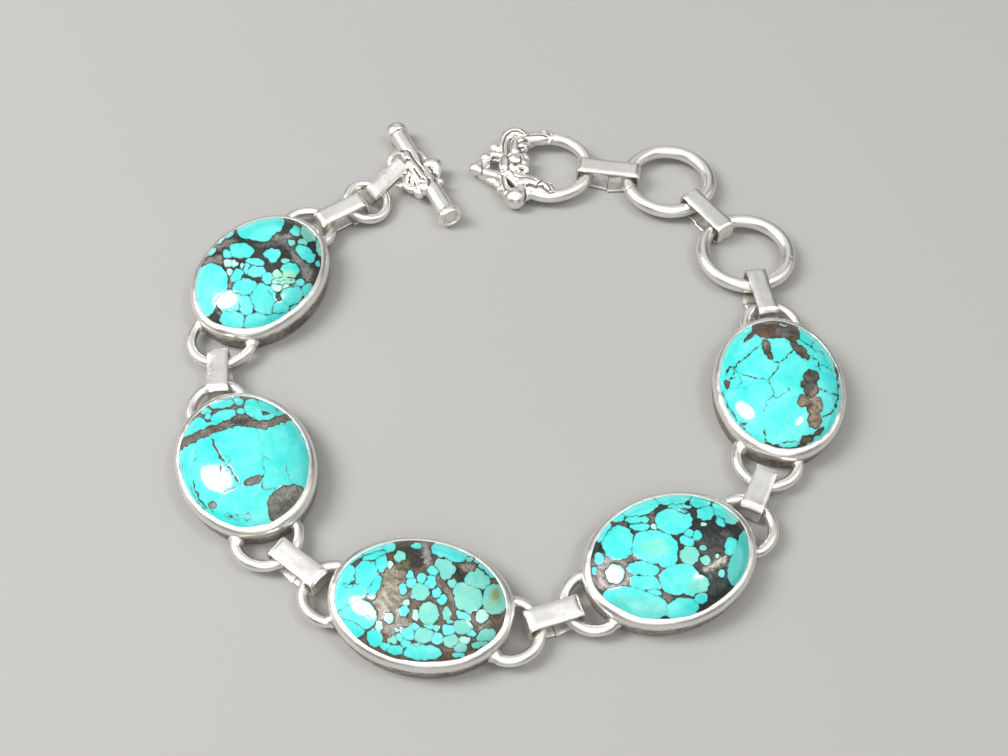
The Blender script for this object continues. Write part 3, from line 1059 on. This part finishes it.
# The toggle ring: one casting on a plain hoop, with beads, curled stems and leaves that
# have run together. A row of a strand is a place in the picture, in tenths of a pixel from
# the corner named, a height and a radius in mm, and strands blend where they touch.
RING_CORNER = np.array([462.0, 118.0])
RING_STRANDS = [
    [(412, 375, 1.6, 0.66), (408, 300, 1.75, 0.72), (416, 235, 1.85, 0.76), (448, 182, 2.0, 0.82),
     (505, 155, 2.1, 0.88), (565, 164, 2.1, 0.92), (620, 190, 2.0, 0.98)],
    [(538, 230, 2.1, 0.66), (530, 285, 2.15, 0.74), (530, 345, 2.1, 0.72)],
    [(592, 238, 2.05, 0.88), (605, 298, 1.95, 0.90)],
    [(645, 272, 1.8, 0.56)],
    [(560, 305, 1.6, 1.0), (590, 230, 1.6, 1.0)],
    [(600, 190, 1.9, 0.92), (660, 214, 1.95, 1.0), (740, 211, 2.0, 1.0), (820, 208, 1.95, 0.92),
     (868, 205, 1.85, 0.72)],
    [(700, 172, 2.2, 0.42), (770, 168, 2.25, 0.42), (818, 152, 2.35, 0.52), (850, 165, 2.3, 0.42)],
    [(850, 132, 2.0, 0.30), (890, 165, 2.15, 0.38), (896, 205, 2.1, 0.38), (866, 246, 1.8, 0.34)],
    [(322, 302, 1.5, 0.68)],
    [(365, 320, 1.5, 0.50)],
    [(238, 410, 1.4, 0.92)],
    [(138, 510, 1.35, 0.95)],
    [(262, 375, 1.5, 0.50), (330, 372, 1.6, 0.50), (400, 385, 1.75, 0.55)],
    [(300, 418, 1.0, 0.38), (350, 422, 1.05, 0.40), (400, 435, 1.2, 0.45)],
    [(238, 440, 1.35, 0.58), (245, 485, 1.25, 0.56), (215, 510, 1.25, 0.60)],
    [(185, 530, 1.4, 0.72), (250, 557, 1.45, 0.78), (320, 578, 1.5, 0.76), (385, 592, 1.6, 0.72),
     (430, 600, 1.6, 0.66)],
    [(195, 575, 1.0, 0.55), (255, 608, 0.95, 0.58), (315, 645, 1.0, 0.58)],
    [(375, 588, 2.0, 0.44)],
    [(325, 630, 1.2, 0.52)],
    [(350, 672, 1.3, 0.56)],
    [(384, 722, 1.2, 0.56)],
    [(395, 640, 1.3, 0.72), (415, 715, 1.3, 0.80)],
    [(405, 560, 1.85, 0.54), (414, 640, 1.9, 0.50), (436, 700, 1.9, 0.54), (478, 745, 1.85, 0.66)],
    [(470, 560, 2.1, 0.78), (495, 590, 2.0, 0.70), (540, 645, 1.95, 0.60), (580, 700, 1.9, 0.70),
     (600, 745, 1.85, 0.80)],
    [(535, 803, 1.56, 1.52)],
    [(465, 762, 1.6, 0.92)],
    [(600, 788, 1.55, 0.90)],
    [(640, 765, 1.6, 0.94)],
    [(452, 470, 1.75, 1.28), (468, 530, 1.75, 1.18)],
    [(530, 450, 1.85, 1.30), (590, 465, 1.8, 1.15)],
    [(560, 515, 1.8, 1.08), (505, 535, 1.85, 1.12)],
    [(424, 425, 2.1, 0.80), (426, 505, 2.15, 0.80)],
    [(513, 420, 2.35, 0.86)],
    [(575, 408, 2.25, 0.80)],
    [(490, 374, 2.1, 0.50), (545, 368, 2.1, 0.50)],
    [(624, 405, 2.0, 0.80)],
    [(500, 492, 2.55, 0.70)],
    [(523, 525, 2.55, 0.28), (553, 496, 2.65, 0.32), (600, 486, 2.6, 0.36), (638, 502, 2.4, 0.40),
     (645, 530, 2.2, 0.38), (618, 550, 2.2, 0.34), (580, 562, 2.3, 0.31), (540, 557, 2.45, 0.29)],
    [(569, 530, 2.55, 0.28)],
    [(540, 615, 1.8, 0.95), (640, 660, 1.75, 1.25), (740, 680, 1.75, 1.26), (830, 710, 1.7, 1.14),
     (895, 745, 1.6, 0.80)],
    [(545, 584, 2.2, 0.44), (640, 598, 2.3, 0.46), (740, 618, 2.35, 0.46), (830, 650, 2.2, 0.46),
     (900, 706, 1.95, 0.44), (918, 750, 1.75, 0.38)],
    [(590, 645, 2.35, 0.52), (680, 655, 2.45, 0.54)],
    [(755, 672, 2.45, 0.44), (800, 660, 2.5, 0.44), (850, 680, 2.35, 0.42), (872, 710, 2.15, 0.38)],
    [(640, 712, 2.1, 0.60), (720, 724, 2.15, 0.62), (790, 730, 2.1, 0.58), (840, 746, 2.0, 0.52)],
    [(898, 765, 1.7, 0.50), (862, 780, 1.55, 0.46)],
]

# Grooves of the chasing: half width, depth and height in mm, and the line in the picture
RING_LINES = [
    (0.12, 0.15, 2.2, [(417, 340), (414, 262), (445, 196), (500, 166), (560, 165), (610, 190)]),
    (0.12, 0.14, 2.4, [(600, 135), (640, 170), (672, 186)]),
    (0.12, 0.12, 2.5, [(640, 196), (720, 192), (800, 188), (850, 195)]),
    (0.13, 0.15, 2.3, [(570, 265), (615, 258), (640, 240)]),
    (0.13, 0.15, 2.2, [(565, 320), (620, 315)]),
    (0.13, 0.16, 2.6, [(450, 400), (470, 430), (465, 480), (462, 520)]),
    (0.12, 0.15, 2.7, [(590, 390), (598, 425), (590, 445), (550, 462), (525, 485)]),
    (0.12, 0.14, 2.4, [(400, 405), (430, 388), (465, 392)]),
    (0.12, 0.14, 2.2, [(400, 575), (402, 640), (415, 690), (440, 730)]),
    (0.12, 0.14, 2.4, [(530, 590), (580, 612), (640, 618), (700, 628), (730, 645)]),
    (0.12, 0.16, 2.6, [(625, 692), (670, 672), (712, 682), (735, 698)]),
    (0.12, 0.16, 2.6, [(742, 700), (765, 660), (805, 632), (860, 660), (890, 700)]),
    (0.12, 0.14, 2.5, [(775, 690), (810, 690), (825, 712)]),
    (0.12, 0.14, 2.1, [(840, 735), (880, 765), (915, 755)]),
    (0.12, 0.13, 1.9, [(632, 745), (640, 790), (630, 830)]),
    (0.12, 0.13, 1.7, [(190, 480), (205, 520), (195, 560)]),
]

HOOP_WIRE = 1.76
CAST_GRAIN = 0.075
MELT_PASSES = 3
SHADOW_PASSES = 10


def seen_at(corner, rows):
    """The same rows with the place in mm on the bracelet instead of in the picture."""
    placed = []
    for x, y, z, *more in rows:
        px, py = corner + np.array([x, y]) / 10
        ray = np.array([px - MIDDLE_X, 0, 0]) / FOCAL_PX + view_up * (MIDDLE_Y - py) / FOCAL_PX - view_back
        point = camera_at + ray * (z - camera_at[2]) / ray[2]
        placed.append((*point, *more))
    return placed


def strand(rows, around=18, steps=7):
    """A stem of changing thickness through the rows, with round ends; one row is a bead."""
    rows = np.array(rows, float)
    if len(rows) == 1:
        rows = np.vstack([rows - [1e-3, 0, 0, 0], rows + [1e-3, 0, 0, 0]])
    knots = np.vstack([2 * rows[:1] - rows[1:2], rows, 2 * rows[-1:] - rows[-2:-1]])
    dense = []
    for k in range(1, len(knots) - 2):
        a, b, c, d = knots[k - 1:k + 3]
        for t in np.linspace(0, 1, steps, endpoint=False):
            curve = (2 * a - 5 * b + 4 * c - d) * t**2 + (3 * b - a - 3 * c + d) * t**3
            dense.append(0.5 * (2 * b + (c - a) * t + curve))
    dense = np.array(dense + [knots[-2]])
    ahead = np.gradient(dense[:, :3], axis=0)
    ahead /= np.linalg.norm(ahead, axis=1)[:, None]
    first_cap = [(dense[0], -ahead[0], t) for t in np.linspace(math.pi / 2, 0, 7, endpoint=False)]
    last_cap = [(dense[-1], ahead[-1], t) for t in np.linspace(0, math.pi / 2, 8)[1:]]
    line = [(row[:3], row[3], way) for row, way in zip(dense, ahead)]
    before = [(row[:3] + way * row[3] * math.sin(t), row[3] * math.cos(t), -way) for row, way, t in first_cap]
    after = [(row[:3] + way * row[3] * math.sin(t), row[3] * math.cos(t), way) for row, way, t in last_cap]
    line = before + line + after
    turn = np.linspace(0, 2 * math.pi, around, endpoint=False)

    def section(k):
        place, radius, way = line[k]
        side = np.cross(way, [0, 0, 1])
        side /= max(np.linalg.norm(side), 1e-9)
        lift = np.cross(side, way)
        return place + max(radius, 0.002) * (np.cos(turn)[:, None] * side + np.sin(turn)[:, None] * lift)

    return sweep(line, section, closed=False)


def cast(name, pieces):
    """One skin of metal round all the pieces, as cast."""
    points = np.vstack([p for p, _ in pieces])
    faces = []
    base = 0
    for p, f in pieces:
        faces += [tuple(i + base for i in face) for face in f]
        base += len(p)
    body = solid(name, points, faces)
    skin = body.modifiers.new("skin", "REMESH")
    skin.mode = "VOXEL"
    skin.voxel_size = CAST_GRAIN * MM
    soften = body.modifiers.new("soften", "SMOOTH")
    soften.factor = 0.5
    soften.iterations = MELT_PASSES
    bpy.context.view_layer.update()
    result = bpy.data.meshes.new_from_object(body.evaluated_get(bpy.context.evaluated_depsgraph_get()))
    body.modifiers.clear()
    body.data = result
    return body


def engrave(body, corner, lines):
    """Cuts fine grooves into a casting from above and darkens them, with the hollows."""
    points = np.array([v.co for v in body.data.vertices]) / MM
    normals = np.array([v.normal for v in body.data.vertices])
    cut = np.zeros(len(points))
    dark = np.zeros(len(points))
    facing_up = np.clip((normals[:, 2] + 0.1) / 0.4, 0, 1)
    for width, depth, level, line in lines:
        line = seen_at(corner, [(x, y, level) for x, y in line])
        off = line_distance(points[:, :2], [q[:2] for q in line])
        near_level = np.clip((points[:, 2] - level + 0.5) / 0.3, 0, 1)
        groove = np.exp(-(off / (width * 1.25)) ** 2) * facing_up * near_level
        cut = np.maximum(cut, depth * groove)
        dark = np.maximum(dark, 0.95 * groove)
    points -= normals * cut[:, None]
    body.data.vertices.foreach_set("co", (points * MM).ravel())
    body.data.update()
    edges = np.array([e.vertices[:] for e in body.data.edges])
    lean = points[edges[:, 1]] - points[edges[:, 0]]
    lean /= np.linalg.norm(lean, axis=1)[:, None]
    bend = ((normals[edges[:, 0]] - normals[edges[:, 1]]) * lean).sum(1)
    hollow = np.zeros(len(points))
    count = np.zeros(len(points))
    for side in (0, 1):
        np.add.at(hollow, edges[:, side], bend)
        np.add.at(count, edges[:, side], 1)
    count = np.maximum(count, 1)
    hollow /= count
    for _ in range(SHADOW_PASSES):
        spread = np.zeros(len(points))
        np.add.at(spread, edges[:, 0], hollow[edges[:, 1]])
        np.add.at(spread, edges[:, 1], hollow[edges[:, 0]])
        hollow = 0.5 * hollow + 0.5 * spread / count
    paint(body, "crease", np.clip(dark + np.clip(hollow * 8 - 0.25, 0, 0.7), 0, 1.1))
    body.data.shade_smooth()


# The hoop is left out where the ornament covers it, so that the openings there stay open.
arc = np.linspace(-122, 134, 60)
hoop = [(*(TOGGLE_AT[:2] + toward(TOGGLE_RADIUS, t)), TOGGLE_AT[2], HOOP_WIRE / 2) for t in arc]
ornament = [strand(hoop, 32, 3)] + [strand(seen_at(RING_CORNER, rows)) for rows in RING_STRANDS]
toggle_ring = cast("toggle_ring_casting", ornament)
engrave(toggle_ring, RING_CORNER, RING_LINES)
cast_silver = silver_finish("cast_silver", 0.24, 0.24)
toggle_ring.data.materials.append(cast_silver)
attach(toggle_ring, "root")
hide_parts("toggle_ring")


# The toggle bar: a casting as well, a round rod with a turned cap at each end, a stem and
# a curl of scrollwork over it, and at its side the lug of wire that the last strap holds.
BAR_CORNER = np.array([372.0, 112.0])
BAR_STRANDS = [
    [(335, 440, 2.35, 0.74), (380, 505, 2.45, 0.80), (430, 572, 2.45, 0.80), (480, 640, 2.4, 0.76),
     (530, 712, 2.3, 0.85)],
    [(330, 405, 2.1, 0.56), (300, 440, 1.9, 0.56)],
    [(405, 410, 2.15, 0.74), (450, 475, 2.2, 0.76), (490, 535, 2.15, 0.66)],
    [(470, 420, 1.8, 0.52), (520, 468, 1.8, 0.55)],
    [(515, 560, 2.2, 0.58), (548, 535, 2.25, 0.74), (600, 525, 2.15, 0.86), (638, 535, 1.95, 0.86),
     (650, 570, 1.85, 0.74), (642, 615, 1.75, 0.66), (628, 660, 1.7, 0.62)],
    [(655, 512, 2.1, 0.62)],
    [(625, 540, 2.0, 0.98)],
    [(600, 722, 2.05, 0.56)],
    [(640, 692, 1.85, 0.62), (678, 700, 1.8, 0.62)],
    [(300, 560, 1.3, 0.62), (340, 610, 1.35, 0.66), (400, 620, 1.7, 0.60)],
    [(345, 655, 1.45, 0.50), (388, 632, 1.6, 0.48), (430, 650, 1.8, 0.50), (468, 700, 1.8, 0.52),
     (470, 748, 1.6, 0.52), (430, 775, 1.4, 0.58), (385, 772, 1.3, 0.58), (342, 742, 1.35, 0.55),
     (332, 697, 1.4, 0.52), (345, 655, 1.45, 0.50)],
    [(405, 640, 1.55, 0.32), (402, 700, 1.45, 0.31), (405, 760, 1.35, 0.32)],
    [(315, 735, 1.2, 0.50), (275, 738, 1.15, 0.56)],
    [(475, 805, 1.65, 0.86)],
    [(520, 765, 2.0, 1.05), (585, 752, 2.05, 0.92)],
]

BAR_LINES = [
    (0.12, 0.15, 2.5, [(300, 420), (340, 395), (378, 415), (400, 470), (440, 520), (480, 560),
        (515, 610)]),
    (0.20, 0.32, 2.9, [(338, 482), (362, 486)]),
    (0.18, 0.34, 2.7, [(420, 590), (445, 625)]),
    (0.18, 0.34, 2.7, [(455, 640), (475, 665)]),
    (0.16, 0.30, 2.6, [(505, 682), (525, 692)]),
    (0.26, 0.34, 2.2, [(622, 618), (648, 636)]),
    (0.13, 0.16, 2.2, [(575, 700), (580, 735), (570, 765)]),
    (0.13, 0.14, 2.1, [(630, 700), (640, 730)]),
    (0.13, 0.14, 2.2, [(510, 560), (490, 480), (465, 440)]),
]

# The caps and the rod: places along the bar from its middle, and radii
NORTH_CAP = [
    (7.75, 1.0), (7.85, 1.30), (8.0, 1.58), (8.25, 1.66), (8.6, 1.68), (9.0, 1.66), (9.4, 1.57),
    (9.7, 1.36), (9.84, 1.15), (9.88, 0.8), (9.88, 0.01),
]
SOUTH_CAP = [
    (-8.1, 1.0), (-8.5, 1.28), (-8.75, 1.52), (-8.95, 1.63), (-9.3, 1.66), (-9.6, 1.64), (-9.82, 1.52),
    (-9.89, 1.36), (-9.84, 1.2), (-9.66, 1.06), (-9.52, 0.8), (-9.50, 0.01),
]
ROD = [(9.0, 1.25), (0.0, 1.22), (-8.3, 1.25)]
LUG_WIRE = 0.84
LUG_Z = 2.0


def lathe(rows):
    """A solid of revolution round the bar's own line from rows of place and radius."""
    turn = np.linspace(0, 2 * math.pi, 72, endpoint=False)

    def section(k):
        u, radius = rows[k]
        return np.stack([u + 0 * turn, radius * np.cos(turn), BAR_AT[2] + radius * np.sin(turn)], 1)

    return sweep(rows, section, closed=False)


lug_points, lug_faces, _ = bent_ring(LUG_RADIUS, LUG_WIRE, 0, 0)
lug_heading = math.degrees(math.atan2(*(lug_at - SMALL_AT[:2])[::-1])) - BAR_TURN
lug_points = turned(lug_points, LUG_LEAN, 0, lug_heading) + [LUG_ALONG, LUG_OUT, LUG_Z]
rod = strand([(u, 0, BAR_AT[2], radius) for u, radius in ROD], 40)
straight_parts = [lathe(NORTH_CAP), lathe(SOUTH_CAP), (lug_points, lug_faces), rod]
pieces = [(turned(points, 0, 0, BAR_TURN) + [*BAR_AT[:2], 0], faces) for points, faces in straight_parts]
pieces += [strand(seen_at(BAR_CORNER, rows)) for rows in BAR_STRANDS]
toggle_bar = cast("toggle_bar_casting", pieces)
engrave(toggle_bar, BAR_CORNER, BAR_LINES)
toggle_bar.data.materials.append(cast_silver)
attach(toggle_bar, "root")
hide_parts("toggle_bar")
